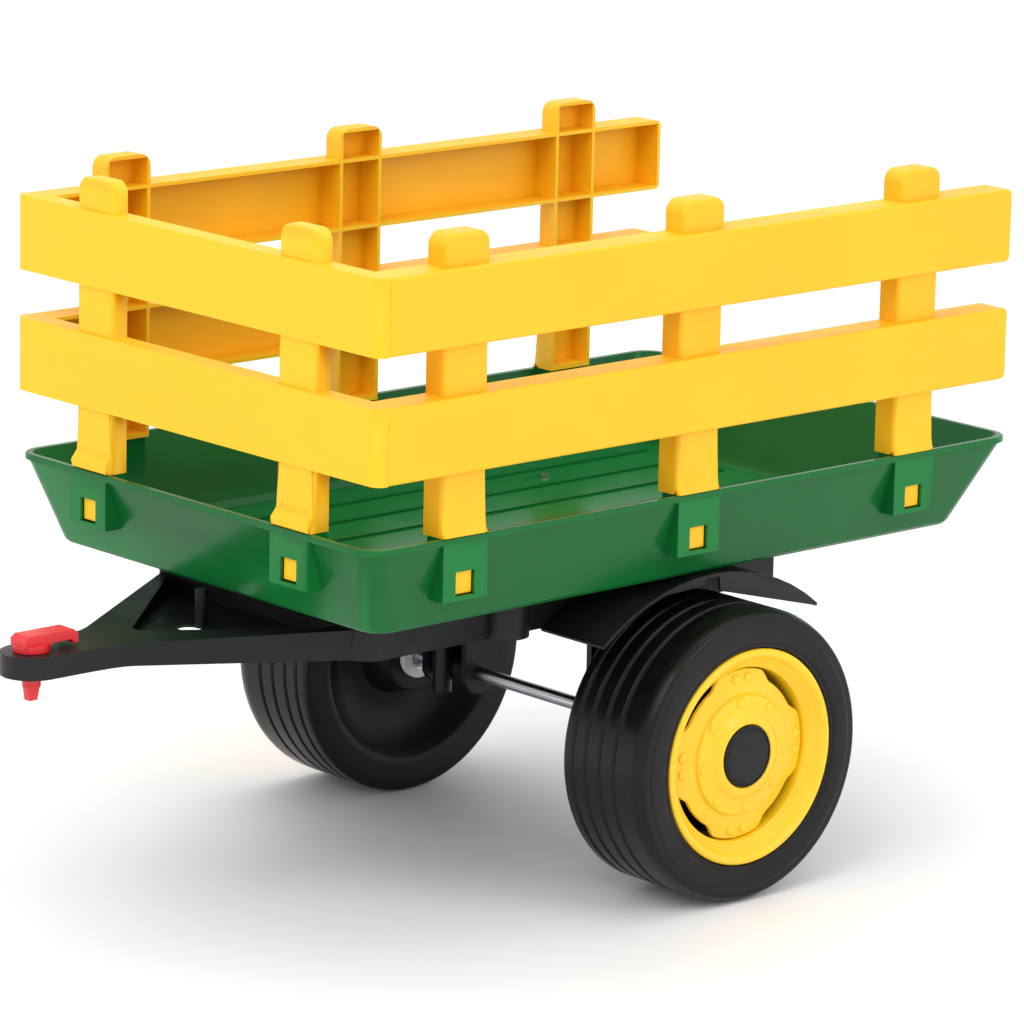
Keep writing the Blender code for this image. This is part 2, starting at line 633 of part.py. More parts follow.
def make_wheel(side, materials):
    place = mirrored if side == "right" else lambda shape: shape
    centre = (AXLE_Y, WHEEL_RADIUS)
    black, yellow, steel, white = materials
    turning = [
        solid(f"{side}_wheel", [place(turned(tyre_profile(), centre))], black),
        make_hub_disc(side, place, yellow),
    ]
    cap = [(0.2569, 0.0), (0.2565, 0.0250), (0.2557, 0.0262), (0.2495, 0.0262), (0.2495, 0.0238)]
    cap += [(0.2547, 0.0238), (0.2547, 0.0)]
    turning.append(solid(f"{side}_hub_cap", [place(turned(cap, centre, closed=False, segments=20))], black))
    inner_bush = [(0.1557, AXLE_BORE), (0.1557, 0.0190), (0.1569, 0.0200), (0.1617, 0.0200), (0.1617, 0.0115)]
    inner_bush += [(0.1800, 0.0115), (0.1800, AXLE_BORE)]
    outer_bush = [(0.2300, AXLE_BORE), (0.2300, 0.0115), (0.2455, 0.0115), (0.2455, 0.0145), (0.2472, 0.0145)]
    outer_bush += [(0.2472, AXLE_BORE)]
    turning.append(solid(f"{side}_inner_bush", [place(turned(inner_bush, centre, segments=16))], white))
    turning.append(solid(f"{side}_outer_bush", [place(turned(outer_bush, centre, segments=16))], white))
    for obj in turning:
        set_origin(obj, (0.0, *centre))
    rings = {
        "inner_push_nut": (0.1505, 0.1525, 0.0100),
        "washer": (0.1534, 0.1550, 0.0115),
        "outer_push_nut": (0.2478, 0.2500, 0.0100),
    }
    for name, (low, high, radius) in rings.items():
        ring = [(low, AXLE_BORE), (low, radius), (high, radius), (high, AXLE_BORE)]
        solid(f"{side}_{name}", [place(turned(ring, centre, segments=14))], steel)


def make_axle(steel):
    chamfer = 0.0008
    profile = [(-AXLE_HALF, 0.0), (-AXLE_HALF, AXLE_RADIUS - chamfer), (chamfer - AXLE_HALF, AXLE_RADIUS)]
    profile += [(-x, radius) for x, radius in reversed(profile)]
    rod = turned(profile, (AXLE_Y, WHEEL_RADIUS), closed=False, segments=20)
    set_origin(solid("axle_rod", [rod], steel), (0.0, AXLE_Y, WHEEL_RADIUS))


# Screws


def upright_screw(name, spot, head, shank, steel):
    """A pan-head screw along Z: head and shank are (low, high, radius)."""
    screw = solid(name, [prism(circle(spot, head[2], 14), head[0], head[1])], steel)
    add(screw, "shank", [prism(circle(spot, shank[2], 10), shank[0], shank[1])])


def side_screw(name, spot, direction, steel):
    """A pan-head screw along X, through a fender's flange into the chassis."""
    start = FENDER_INNER + WALL + GAP
    head = sorted((direction * start, direction * (start + 0.0022)))
    shank = sorted((direction * (CHASSIS_HALF - 0.006), direction * (start + 0.001)))
    screw = solid(name, [prism(circle(spot, 0.0042, 14), *head, sideways)], steel)
    add(screw, "shank", [prism(circle(spot, 0.0018, 10), *shank, sideways)])


def make_screws(steel):
    floor = TUB_BOTTOM + WALL
    for direction, side in ((1, "left"), (-1, "right")):
        for (x, y), place in zip(TUB_SCREWS, ("front", "rear")):
            head = (floor + GAP, floor + GAP + 0.0024, 0.0048)
            shank = (0.2520, floor + 0.001, 0.0022)
            upright_screw(f"{side}_{place}_tub_screw", (direction * x, y), head, shank, steel)
        for (x, y), place in zip(BRACKET_SCREWS, ("inner", "outer")):
            under = BRACKET_TOP - WALL - GAP
            head = (under - 0.0022, under, 0.0042)
            shank = (under - 0.001, CHASSIS_TOP - 0.0006, 0.0018)
            upright_screw(f"{side}_{place}_bracket_screw", (direction * x, y), head, shank, steel)
        for y, place in zip(FENDER_SCREWS_Y, ("front", "rear")):
            side_screw(f"{side}_{place}_fender_screw", (y, 0.2530), direction, steel)


def main():
    clear_scene()
    green = plastic("green_plastic", (0.010, 0.130, 0.030), 0.25)
    yellow = plastic("yellow_plastic", (1.000, 0.640, 0.030), 0.40)
    black = plastic("black_plastic", (0.014, 0.014, 0.015), 0.45)
    red = plastic("red_plastic", (0.800, 0.020, 0.030), 0.35)
    steel = plastic("zinc_plated_steel", (0.550, 0.560, 0.580), 0.30, 1.0)
    white = plastic("white_plastic", (0.750, 0.770, 0.800), 0.45)
    make_tub(green)
    make_side_fence("left_fence", at_left, yellow)
    make_side_fence("right_fence", at_right, yellow)
    make_front_fence(yellow)
    make_drawbar(black)
    make_hitch_pin(red)
    for side in ("left", "right"):
        make_bracket(side, black)
        make_fender(side, black)
        make_wheel(side, (black, yellow, steel, white))
    make_axle(steel)
    make_screws(steel)


main()
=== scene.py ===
"""Looks for a child's stake-side farm trailer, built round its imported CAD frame.

Lengths are in metres. The hitch points along -Y and +Z is up. Wheel outlines are (x, radius)
points of the left wheel, and the right wheel mirrors it.
"""

import json
import math

import bmesh
import bpy
from mathutils import Matrix, Vector

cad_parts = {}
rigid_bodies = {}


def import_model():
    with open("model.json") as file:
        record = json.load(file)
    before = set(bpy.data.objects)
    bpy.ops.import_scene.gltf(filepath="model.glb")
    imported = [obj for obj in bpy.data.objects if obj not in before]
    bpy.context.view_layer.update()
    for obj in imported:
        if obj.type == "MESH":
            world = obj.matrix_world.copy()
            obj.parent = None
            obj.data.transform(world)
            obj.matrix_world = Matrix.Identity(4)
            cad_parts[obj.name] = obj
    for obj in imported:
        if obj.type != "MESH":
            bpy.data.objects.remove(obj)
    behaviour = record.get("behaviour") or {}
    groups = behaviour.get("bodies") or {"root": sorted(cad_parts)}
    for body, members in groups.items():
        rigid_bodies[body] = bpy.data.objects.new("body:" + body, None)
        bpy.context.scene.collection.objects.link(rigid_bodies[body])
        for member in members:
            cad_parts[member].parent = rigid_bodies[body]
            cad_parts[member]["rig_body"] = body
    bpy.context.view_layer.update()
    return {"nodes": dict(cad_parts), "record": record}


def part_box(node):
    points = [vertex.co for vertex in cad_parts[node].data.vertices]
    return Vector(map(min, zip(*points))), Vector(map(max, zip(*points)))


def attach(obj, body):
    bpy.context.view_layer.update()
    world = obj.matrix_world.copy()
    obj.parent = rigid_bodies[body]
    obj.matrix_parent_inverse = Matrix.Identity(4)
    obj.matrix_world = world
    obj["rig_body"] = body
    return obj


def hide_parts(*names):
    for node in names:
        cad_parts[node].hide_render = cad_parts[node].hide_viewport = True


# How the CAD faces are cleaned up, rounded and shaded
WELD = 0.000002
MERGE = 0.0004
SLIVER = 0.00001
FLAT = math.radians(0.6)
SHARP = math.radians(28)
CREASE = math.radians(50)
TURNED_CREASE = math.radians(38)
CAD_CREASE = math.radians(35)
FLAT_PANEL_AREA = 0.0006
NEAR = 0.001

ROUND_STEPS = 128
SMALL_ROUND_STEPS = 64
BOLT_STEPS = 20
DISC_STEPS = 176

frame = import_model()
nodes = frame["nodes"]


# Where things are, from the frame

wheel_low, wheel_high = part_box("left_wheel")
disc_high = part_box("left_hub_disc")[1]
cap_low, cap_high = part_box("left_hub_cap")
fence_low, fence_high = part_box("left_fence")
RIM_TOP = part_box("tub")[1].z
FRONT_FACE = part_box("front_fence")[0].y
WHEEL_RADIUS = (wheel_high.z - wheel_low.z) / 2
WHEEL_CENTRE = Vector((0.0, (wheel_low.y + wheel_high.y) / 2, (wheel_low.z + wheel_high.z) / 2))
WHEEL_FACE = wheel_high.x
HUB_BACK = wheel_low.x
WHEEL_BACK = HUB_BACK + 0.0030
CAP_RADIUS = (cap_high.z - cap_low.z) / 2

# Wheel details, with the bolts' angles in degrees
TREAD_GROOVES = (0.2270, 0.2100, 0.1930, 0.1780)
GROOVE_DEPTH = 0.0028
GROOVE_HALF_WIDTH = 0.0026
GROOVE_LAND = 0.0032
WHEEL_BORE = 0.0118
DISC_HOLE = 0.0268
LOBE_RADIUS = 0.0718
LOBE_DROP = 0.0068
BOLT_RADIUS = 0.0044
LOBE_BOLTS = 0.0648
LOBE_BOLT_ANGLE = 6.2
RING_BOLTS = 0.0452
RING_BOLT_ANGLE = -6


# Materials


def start_material(name, colour, roughness, metallic=0.0):
    """A Principled material; gives (material, node tree, shader)."""
    material = bpy.data.materials.new(name)
    material.use_nodes = True
    tree = material.node_tree
    shader = tree.nodes["Principled BSDF"]
    shader.inputs["Base Color"].default_value = (*colour, 1.0)
    shader.inputs["Roughness"].default_value = roughness
    shader.inputs["Metallic"].default_value = metallic
    return material, tree, shader


def noise(tree, scale, detail, stretch=(1.0, 1.0, 1.0)):
    """Noise over the object's own coordinates, in features per metre."""
    place = tree.nodes.new("ShaderNodeTexCoord")
    mapping = tree.nodes.new("ShaderNodeMapping")
    mapping.inputs["Scale"].default_value = stretch
    texture = tree.nodes.new("ShaderNodeTexNoise")
    texture.inputs["Scale"].default_value = scale
    texture.inputs["Detail"].default_value = detail
    tree.links.new(place.outputs["Object"], mapping.inputs["Vector"])
    tree.links.new(mapping.outputs["Vector"], texture.inputs["Vector"])
    return texture.outputs["Fac"]


def spread(tree, value, low, high, source=(0.3, 0.7)):
    """Maps the source range of a value onto low..high, and holds it there outside."""
    node = tree.nodes.new("ShaderNodeMapRange")
    node.inputs["From Min"].default_value = source[0]
    node.inputs["From Max"].default_value = source[1]
    node.inputs["To Min"].default_value = low
    node.inputs["To Max"].default_value = high
    tree.links.new(value, node.inputs["Value"])
    return node.outputs["Result"]


def mixed(tree, share, first, second):
    """A colour mix; first and second are colours or sockets."""
    node = tree.nodes.new("ShaderNodeMix")
    node.data_type = "RGBA"
    tree.links.new(share, node.inputs["Factor"])
    for name, value in (("A", first), ("B", second)):
        socket = [s for s in node.inputs if s.name == name and s.type == "RGBA"][0]
        if isinstance(value, tuple):
            socket.default_value = (*value, 1.0)
        else:
            tree.links.new(value, socket)
    return [s for s in node.outputs if s.type == "RGBA"][0]


def shade(colour, factor):
    """The colour made lighter or darker."""
    return tuple(min(1.0, channel * factor) for channel in colour)


def bump(tree, shader, layers):
    """Adds noise layers, each a height socket and a distance, to the shader's normal."""
    normal = None
    for height, distance in layers:
        node = tree.nodes.new("ShaderNodeBump")
        node.inputs["Strength"].default_value = 1.0
        node.inputs["Distance"].default_value = distance
        tree.links.new(height, node.inputs["Height"])
        if normal:
            tree.links.new(normal, node.inputs["Normal"])
        normal = node.outputs["Normal"]
    tree.links.new(normal, shader.inputs["Normal"])


def edge_share(tree):
    """1 on convex edges, fading to 0 on flat faces."""
    geometry = tree.nodes.new("ShaderNodeNewGeometry")
    return spread(tree, geometry.outputs["Pointiness"], 0.0, 1.0, source=(0.52, 0.62))


def moulded_plastic(
    name, colour, roughness, grain, grain_depth, edge=1.25, coat=0.0, wave=0.00012, shine=0.5
):
    """Moulded plastic: faint flow mottling, uneven gloss, fine grain, slow waves, and a painted highlight
    that lightens convex edges.
    """
    material, tree, shader = start_material(name, colour, roughness)
    flow = spread(tree, noise(tree, scale=9.0, detail=5.0), 0.0, 1.0)
    body = mixed(tree, flow, shade(colour, 0.94), shade(colour, 1.05))
    # Painted highlight: convex edges are painted lighter, by the edge factor, to stand in for light caught
    # on rounded edges.
    painted_edge_highlight = mixed(tree, edge_share(tree), body, shade(colour, edge))
    tree.links.new(painted_edge_highlight, shader.inputs["Base Color"])
    cloudy = spread(tree, noise(tree, scale=34.0, detail=6.0), roughness * 0.85, roughness * 1.2)
    tree.links.new(cloudy, shader.inputs["Roughness"])
    waves = noise(tree, scale=7.0, detail=2.0)
    fine = noise(tree, scale=grain, detail=2.0)
    bump(tree, shader, [(waves, wave), (fine, grain_depth)])
    shader.inputs["Specular IOR Level"].default_value = shine
    shader.inputs["Coat Weight"].default_value = coat
    shader.inputs["Coat Roughness"].default_value = 0.06
    return material


def zinc_steel(name):
    """Zinc-plated steel, drawn along X."""
    colour = (0.56, 0.57, 0.60)
    material, tree, shader = start_material(name, colour, 0.28, metallic=1.0)
    cloud = spread(tree, noise(tree, scale=45.0, detail=5.0), 0.0, 1.0)
    tone = mixed(tree, cloud, shade(colour, 0.88), shade(colour, 1.1))
    tree.links.new(tone, shader.inputs["Base Color"])
    streaks = noise(tree, scale=900.0, detail=3.0, stretch=(0.03, 1.0, 1.0))
    tree.links.new(spread(tree, streaks, 0.2, 0.38), shader.inputs["Roughness"])
    bump(tree, shader, [(streaks, 0.00003)])
    return material


def distance_from_axle(tree):
    """How far a point of a wheel is from its axle."""
    place = tree.nodes.new("ShaderNodeTexCoord")
    split = tree.nodes.new("ShaderNodeSeparateXYZ")
    tree.links.new(place.outputs["Object"], split.inputs["Vector"])
    flat = tree.nodes.new("ShaderNodeCombineXYZ")
    tree.links.new(split.outputs["Y"], flat.inputs["Y"])
    tree.links.new(split.outputs["Z"], flat.inputs["Z"])
    length = tree.nodes.new("ShaderNodeVectorMath")
    length.operation = "LENGTH"
    tree.links.new(flat.outputs["Vector"], length.inputs[0])
    return length.outputs["Value"]


def tyre_plastic(name):
    """Blow-moulded tyre: matt flat sidewall, glossier tread and shoulder, faint dust all over."""
    sidewall = (0.0068, 0.0071, 0.0078)
    tread = (0.0036, 0.0038, 0.0042)
    dust = (0.022, 0.022, 0.023)
    material, tree, shader = start_material(name, sidewall, 0.4)
    outward = spread(tree, distance_from_axle(tree), 0.0, 1.0, source=(0.1110, 0.1165))
    matt = spread(tree, noise(tree, scale=60.0, detail=6.0), 0.42, 0.52)
    gloss = spread(tree, noise(tree, scale=26.0, detail=6.0), 0.20, 0.34)
    blend = tree.nodes.new("ShaderNodeMix")
    tree.links.new(outward, blend.inputs["Factor"])
    tree.links.new(matt, blend.inputs["A"])
    tree.links.new(gloss, blend.inputs["B"])
    tree.links.new(blend.outputs["Result"], shader.inputs["Roughness"])
    base = mixed(tree, outward, sidewall, tread)
    dusting = spread(tree, noise(tree, scale=16.0, detail=8.0), 0.0, 0.25, source=(0.5, 0.8))
    tree.links.new(mixed(tree, dusting, base, dust), shader.inputs["Base Color"])
    shader.inputs["Specular IOR Level"].default_value = 0.24
    fine = noise(tree, scale=1500.0, detail=2.0)
    uneven = noise(tree, scale=30.0, detail=3.0)
    bump(tree, shader, [(fine, 0.00004), (uneven, 0.0001)])
    return material


GREEN = (0.0045, 0.1180, 0.0240)
FENCE_YELLOW = (0.96, 0.500, 0.009)
DISC_YELLOW = (0.94, 0.580, 0.012)
BLACK = (0.0050, 0.0052, 0.0058)
RED = (0.720, 0.012, 0.022)
WHITE = (0.72, 0.74, 0.77)

MATERIALS = {
    "tub": moulded_plastic(
        "green_plastic",
        GREEN,
        roughness=0.22,
        grain=700.0,
        grain_depth=0.000003,
        edge=1.5,
        coat=0.03,
        wave=0.00002,
        shine=0.20,
    ),
    "fence": moulded_plastic(
        "fence_yellow",
        FENCE_YELLOW,
        roughness=0.44,
        grain=900.0,
        grain_depth=0.00003,
        edge=1.12,
        wave=0.0001,
        shine=0.35,
    ),
    "hub_disc": moulded_plastic(
        "disc_yellow",
        DISC_YELLOW,
        roughness=0.28,
        grain=800.0,
        grain_depth=0.00001,
        edge=1.08,
        coat=0.2,
        wave=0.00004,
        shine=0.4,
    ),
    "black_plastic": moulded_plastic(
        "black_plastic",
        BLACK,
        roughness=0.40,
        grain=1600.0,
        grain_depth=0.00005,
        edge=2.4,
        wave=0.0001,
        shine=0.30,
    ),
    "tyre": tyre_plastic("tyre_plastic"),
    "pin": moulded_plastic(
        "red_plastic", RED, roughness=0.38, grain=900.0, grain_depth=0.00003, coat=0.1
    ),
    "steel": zinc_steel("zinc_steel"),
    "bush": moulded_plastic(
        "white_nylon", WHITE, roughness=0.38, grain=900.0, grain_depth=0.00002, edge=1.05
    ),
}


# Pieces


def finish_piece(piece, slot, body, replaced):
    """Gives a piece its slot's material and its body, and hides the CAD nodes that it replaces."""
    piece.data.materials.clear()
    piece.data.materials.append(MATERIALS[slot])
    for polygon in piece.data.polygons:
        polygon.use_smooth = True
    if replaced:
        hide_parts(*replaced)
    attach(piece, body)
    return piece


def new_piece(name, shape, origin=(0.0, 0.0, 0.0)):
    """An object made from a bmesh, which it frees."""
    mesh = bpy.data.meshes.new(name)
    shape.to_mesh(mesh)
    shape.free()
    piece = bpy.data.objects.new(name, mesh)
    piece.location = origin
    bpy.context.scene.collection.objects.link(piece)
    return piece


# Rounded mouldings: each one starts from its CAD node's own faces


def sharp_edges(shape, wanted):
    """The sharp edges between two faces that pass a test."""
    return [
        edge
        for edge in shape.edges
        if len(edge.link_faces) == 2 and edge.calc_face_angle(0.0) > SHARP and wanted(edge)
    ]


def middle(edge):
    """The middle of an edge."""
    return (edge.verts[0].co + edge.verts[1].co) / 2


def rounded(node, name, slot, passes, flat_panels=False):
    """Copies a CAD node with its edges rounded.

    Each pass is (radius, steps, test for edges, clamp). With flat_panels, large faces aren't
    shaded smoothly into their edges.
    """
    body = nodes[node]["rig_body"]
    shape = bmesh.new()
    shape.from_mesh(nodes[node].data)
    bmesh.ops.remove_doubles(shape, verts=shape.verts, dist=WELD)
    bmesh.ops.dissolve_limit(shape, angle_limit=FLAT, verts=shape.verts, edges=shape.edges)
    bmesh.ops.remove_doubles(shape, verts=shape.verts, dist=MERGE)
    bmesh.ops.dissolve_degenerate(shape, dist=SLIVER, edges=shape.edges)
    for radius, steps, wanted, clamp in passes:
        bmesh.ops.bevel(
            shape,
            geom=sharp_edges(shape, wanted),
            offset=radius,
            offset_type="OFFSET",
            segments=steps,
            profile=0.5,
            affect="EDGES",
            clamp_overlap=clamp,
        )
    piece = new_piece(name, shape)
    weighted = piece.modifiers.new("weighted_normals", "WEIGHTED_NORMAL")
    weighted.keep_sharp = True
    finish_piece(piece, slot, body, [node])
    piece.data.set_sharp_from_angle(angle=CREASE)
    if flat_panels:
        for polygon in piece.data.polygons:
            polygon.use_smooth = polygon.area < FLAT_PANEL_AREA


def every(edge):
    """Takes every edge."""
    return True


def outer_edge(edge):
    """Takes the edges of a fence's outer faces, but not the seam between two fences."""
    faces = [face.normal for face in edge.link_faces]
    spot = middle(edge)
    side = any(abs(normal.x) > 0.99 for normal in faces) and abs(spot.x) > fence_high.x - NEAR
    front = any(normal.y < -0.99 for normal in faces) and spot.y < FRONT_FACE + NEAR
    at_seam = abs(spot.y - fence_low.y) < NEAR
    return (side or front) and not at_seam


def post_edges(out, along):
    """A test for the edges round the outer faces of the posts of a fence that faces out."""
    board_face = fence_high.x if out.x else -FRONT_FACE

    def test(edge):
        spot = middle(edge)
        on_board = spot.dot(out) > board_face - NEAR
        below_rim = spot.z < RIM_TOP
        if on_board or below_rim or edge.calc_face_angle_signed(0.0) <= 0:
            return False
        outer = [face.normal for face in edge.link_faces if face.normal.dot(out) > 0.5]
        flank = [face.normal for face in edge.link_faces if abs(face.normal.dot(out)) < 0.2]
        if not outer or not flank:
            return False
        return abs(flank[0].dot(along)) > 0.2 or spot.z > fence_high.z - NEAR

    return test


def make_fences():
    """The fences: wide rounding on posts, less on boards, a fine one on every other edge."""
    along_x = Vector((1.0, 0.0, 0.0))
    along_y = Vector((0.0, 1.0, 0.0))
    boards = (0.0028, 4, outer_edge, False)
    fine = (0.0005, 2, every, True)
    fences = (
        ("left_fence", along_x, along_y, False),
        ("right_fence", -along_x, along_y, False),
        ("front_fence", -along_y, along_x, True),
    )
    for node, out, along, flat_panels in fences:
        posts = (0.0042, 5, post_edges(out, along), False)
        rounded(node, f"{node}_moulding", "fence", [posts, boards, fine], flat_panels)


def make_mouldings():
    """The tub, drawbar, hitch pin, fenders and axle brackets."""
    mouldings = [
        ("tub", "tub_moulding", "tub", 0.0006, 2),
        ("drawbar", "drawbar_moulding", "black_plastic", 0.0007, 2),
        ("hitch_pin", "hitch_pin_moulding", "pin", 0.0008, 3),
    ]
    for side in ("left", "right"):
        mouldings += [
            (f"{side}_fender", f"{side}_fender_moulding", "black_plastic", 0.0006, 2),
            (f"{side}_axle_bracket", f"{side}_bracket_moulding", "black_plastic", 0.0007, 2),
        ]
    for node, name, slot, radius, steps in mouldings:
        rounded(node, name, slot, [(radius, steps, every, True)])


# Wheels, turned about the axle


def circle_angles(steps):
    """Equal steps round a circle, in radians."""
    return [2 * math.pi * k / steps for k in range(steps)]


def join_rings(shape, rings, closed):
    """Faces between rings of vertices, and back to the first ring where the outline is closed."""
    following = rings[1:] + rings[:1] if closed else rings[1:]
    steps = len(rings[0])
    for first, second in zip(rings, following):
        for k in range(steps):
            corners = [first[k], first[(k + 1) % steps], second[(k + 1) % steps], second[k]]
            face = list(dict.fromkeys(corners))
            if len(face) > 2:
                shape.faces.new(face)
    bmesh.ops.recalc_face_normals(shape, faces=shape.faces)


def turned(profile, steps=ROUND_STEPS, closed=True):
    """Turns (x, radius) points about X. Points of radius 0 become one pole."""
    shape = bmesh.new()
    rings = []
    for x, radius in profile:
        if radius == 0:
            rings.append([shape.verts.new((x, 0.0, 0.0))] * steps)
            continue
        angles = circle_angles(steps)
        rings.append([shape.verts.new((x, radius * math.sin(a), radius * math.cos(a))) for a in angles])
    join_rings(shape, rings, closed)
    return shape


def bend(centre, radius, start, end, steps):
    """Points of an arc, in degrees from +x towards +radius."""
    angles = [math.radians(start + (end - start) * k / steps) for k in range(steps + 1)]
    return [(centre[0] + radius * math.cos(a), centre[1] + radius * math.sin(a)) for a in angles]


def groove(x):
    """One groove round the tread, from +x to -x."""
    points = []
    for k in range(9):
        t = -1 + k / 4
        depth = GROOVE_DEPTH * (0.5 + 0.5 * math.cos(math.pi * t))
        points.append((x - GROOVE_HALF_WIDTH * t, WHEEL_RADIUS - depth))
    return points


def tyre_outside():
    """The tyre's skin from the rim opening over sidewall and tread to the inner side."""
    face, radius = WHEEL_FACE, WHEEL_RADIUS
    opening = 0.0925
    lip = 0.0012
    step = 0.0040
    shoulder = 0.0240
    inner_shoulder = 0.0040
    arcs_meet = 60.5
    points = [(face - 0.0060, opening), (face - 0.0022, opening)]
    points += bend((face - 0.0022, opening + lip), lip, -90, 0, 3)[1:]
    points += [(face - 0.0010, 0.0952), (face - 0.0014, 0.0962), (face - 0.0004, 0.0975), (face, 0.0990)]
    points += [(face, 0.1110), (face - 0.0001, 0.1124), (face - 0.0006, 0.1130), (face - 0.0008, 0.1144)]
    points += bend((face - 0.0046, 0.1176), step, 8, arcs_meet, 7)
    points += bend((face - 0.0145, radius - shoulder), shoulder, arcs_meet, 90, 8)[1:]
    points += [(face - 0.0220, radius), (face - 0.0300, radius)]
    for x in TREAD_GROOVES:
        points += [(x + GROOVE_LAND, radius)] + groove(x) + [(x - GROOVE_LAND, radius)]
    centre = (WHEEL_BACK + inner_shoulder, radius - inner_shoulder)
    return points + bend(centre, inner_shoulder, 90, 180, 6)


def tyre_inner_side():
    """The dished inner side of the wheel, from the tyre in to the bore of its hub."""
    back = WHEEL_BACK
    hub_edge = 0.0018
    points = [(back, 0.1010), (back, 0.0965)]
    points += [(back + 0.0020, 0.0935), (back + 0.0130, 0.0880), (back + 0.0210, 0.0780)]
    points += [(back + 0.0260, 0.0690), (back + 0.0280, 0.0600), (back + 0.0275, 0.0480)]
    points += [(back + 0.0250, 0.0405), (back + 0.0200, 0.0375), (HUB_BACK + 0.0020, 0.0325)]
    points += bend((HUB_BACK + hub_edge, 0.0305), hub_edge, 90, 180, 4)
    return points + [(HUB_BACK, 0.0220), (HUB_BACK, WHEEL_BORE)]


def tyre_hollow():
    """The hub tube and the hollow inside, back out to the rim opening."""
    tube_end = 0.2452
    tread_inside = 0.1195
    points = [(tube_end, WHEEL_BORE), (tube_end, 0.0150), (0.1930, 0.0165)]
    points += [(0.1935, 0.0375), (0.1965, 0.0640), (0.1815, 0.0910), (0.1700, 0.0985)]
    return points + [(0.1730, tread_inside), (0.2450, tread_inside), (0.2560, 0.1020)]


def barrel_profile():
    """Outer lip of the hub disc and the stepped barrel behind it, then back along the rear."""
    face = disc_high.x
    lip = 0.0034
    points = [(face - 0.0040, 0.0915)]
    points += bend((face - lip, 0.0883), lip, 75, 0, 6)
    points += [(face - 0.0004, 0.0866), (face - 0.0014, 0.0850), (face - 0.0030, 0.0838)]
    for depth, radius in ((0.0048, 0.0822), (0.0076, 0.0794), (0.0104, 0.0766)):
        points += [(face - depth, radius + 0.0006), (face - depth - 0.0004, radius)]
        points += [(face - depth - 0.0016, radius - 0.0006)]
    points += [(face - 0.0130, 0.0742), (face - 0.0150, 0.0734)]
    points += [(face - 0.0300, 0.0730), (face - 0.0440, 0.0726)]
    points += [(face - 0.0450, 0.0735), (face - 0.0440, 0.0748)]
    return points + [(face - 0.0185, 0.0768), (face - 0.0060, 0.0862), (face - 0.0055, 0.0900)]


def smooth_step(low, high, value):
    """0 up to low, 1 from high on, and a smooth rise in between."""
    t = min(1.0, max(0.0, (value - low) / (high - low)))
    return t * t * (3 - 2 * t)


def off_lobe(angle):
    """Degrees from an angle in radians to the middle of the nearest of the four lobes."""
    return abs((math.degrees(angle) % 90) - 45)


def disc_edge(angle):
    """Radius of the centre disc's edge at an angle in radians: wide at the lobes, less between."""
    return LOBE_RADIUS - LOBE_DROP * (1 - smooth_step(14, 26, off_lobe(angle)))


def disc_height(radius, angle):
    """How far out the centre disc's face stands, as x, at an angle in radians."""
    between = 1 - smooth_step(10, 32, off_lobe(angle))
    cone = 0.0132 + 0.0026 * smooth_step(0.050, 0.078, radius)
    lobe_drop = 0.0012 * between * smooth_step(0.045, 0.068, radius)
    plateau = 0.0030 * (1 - smooth_step(0.0503, 0.0520, radius))
    inner = 0.0012 * (1 - smooth_step(0.0400, 0.0450, radius))
    collar = 0.0042 * (1 - smooth_step(0.0312, 0.0395, radius))
    return disc_high.x - cone - lobe_drop + plateau + inner + collar


def disc_loop(inner, share=0.0, inset=0.0, back=0.0, grow=0.0):
    """(x, radius) points round the centre disc, a share of the way from inner to its inset edge.

    The points stand back from the disc's face, and grow moves them outwards.
    """
    points = []
    for angle in circle_angles(DISC_STEPS):
        radius = inner + (disc_edge(angle) - inset - inner) * share
        points.append((disc_height(radius, angle) - back, radius + grow))
    return points


def centre_disc():
    """The lobed centre of the hub disc, with a turned-back edge."""
    lobes_start = 0.0600
    thickness = 0.0034
    edge_inset = 0.0010
    rear_start = 0.0300
    collar_radii = (0.0278, 0.0290, 0.0302, 0.0314, 0.0330, 0.0350, 0.0370, 0.0390)
    ring_radii = (0.0402, 0.0420, 0.0440, 0.0456, 0.0474, 0.0490)
    step_radii = (0.0502, 0.0507, 0.0512, 0.0516, 0.0521, 0.0540, 0.0570, lobes_start)
    loops = [disc_loop(DISC_HOLE, back=0.0008)]
    for radius in collar_radii + ring_radii + step_radii:
        loops.append(disc_loop(radius))
    for share in (0.35, 0.65, 0.85, 0.95):
        loops.append(disc_loop(lobes_start, share))
    for back, grow in ((0.0002, 0.0), (0.0009, 0.0004), (0.0030, 0.0004), (thickness, -edge_inset)):
        loops.append(disc_loop(0.0, 1.0, back=back, grow=grow))
    for share in (0.9, 0.6, 0.3, 0.0):
        loops.append(disc_loop(rear_start, share, inset=edge_inset, back=thickness))
    loops.append([(disc_high.x - 0.0120, DISC_HOLE)] * DISC_STEPS)
    shape = bmesh.new()
    rings = []
    for loop in loops:
        ring = [(x, r * math.sin(a), r * math.cos(a)) for (x, r), a in zip(loop, circle_angles(DISC_STEPS))]
        rings.append([shape.verts.new(point) for point in ring])
    join_rings(shape, rings, closed=True)
    return shape


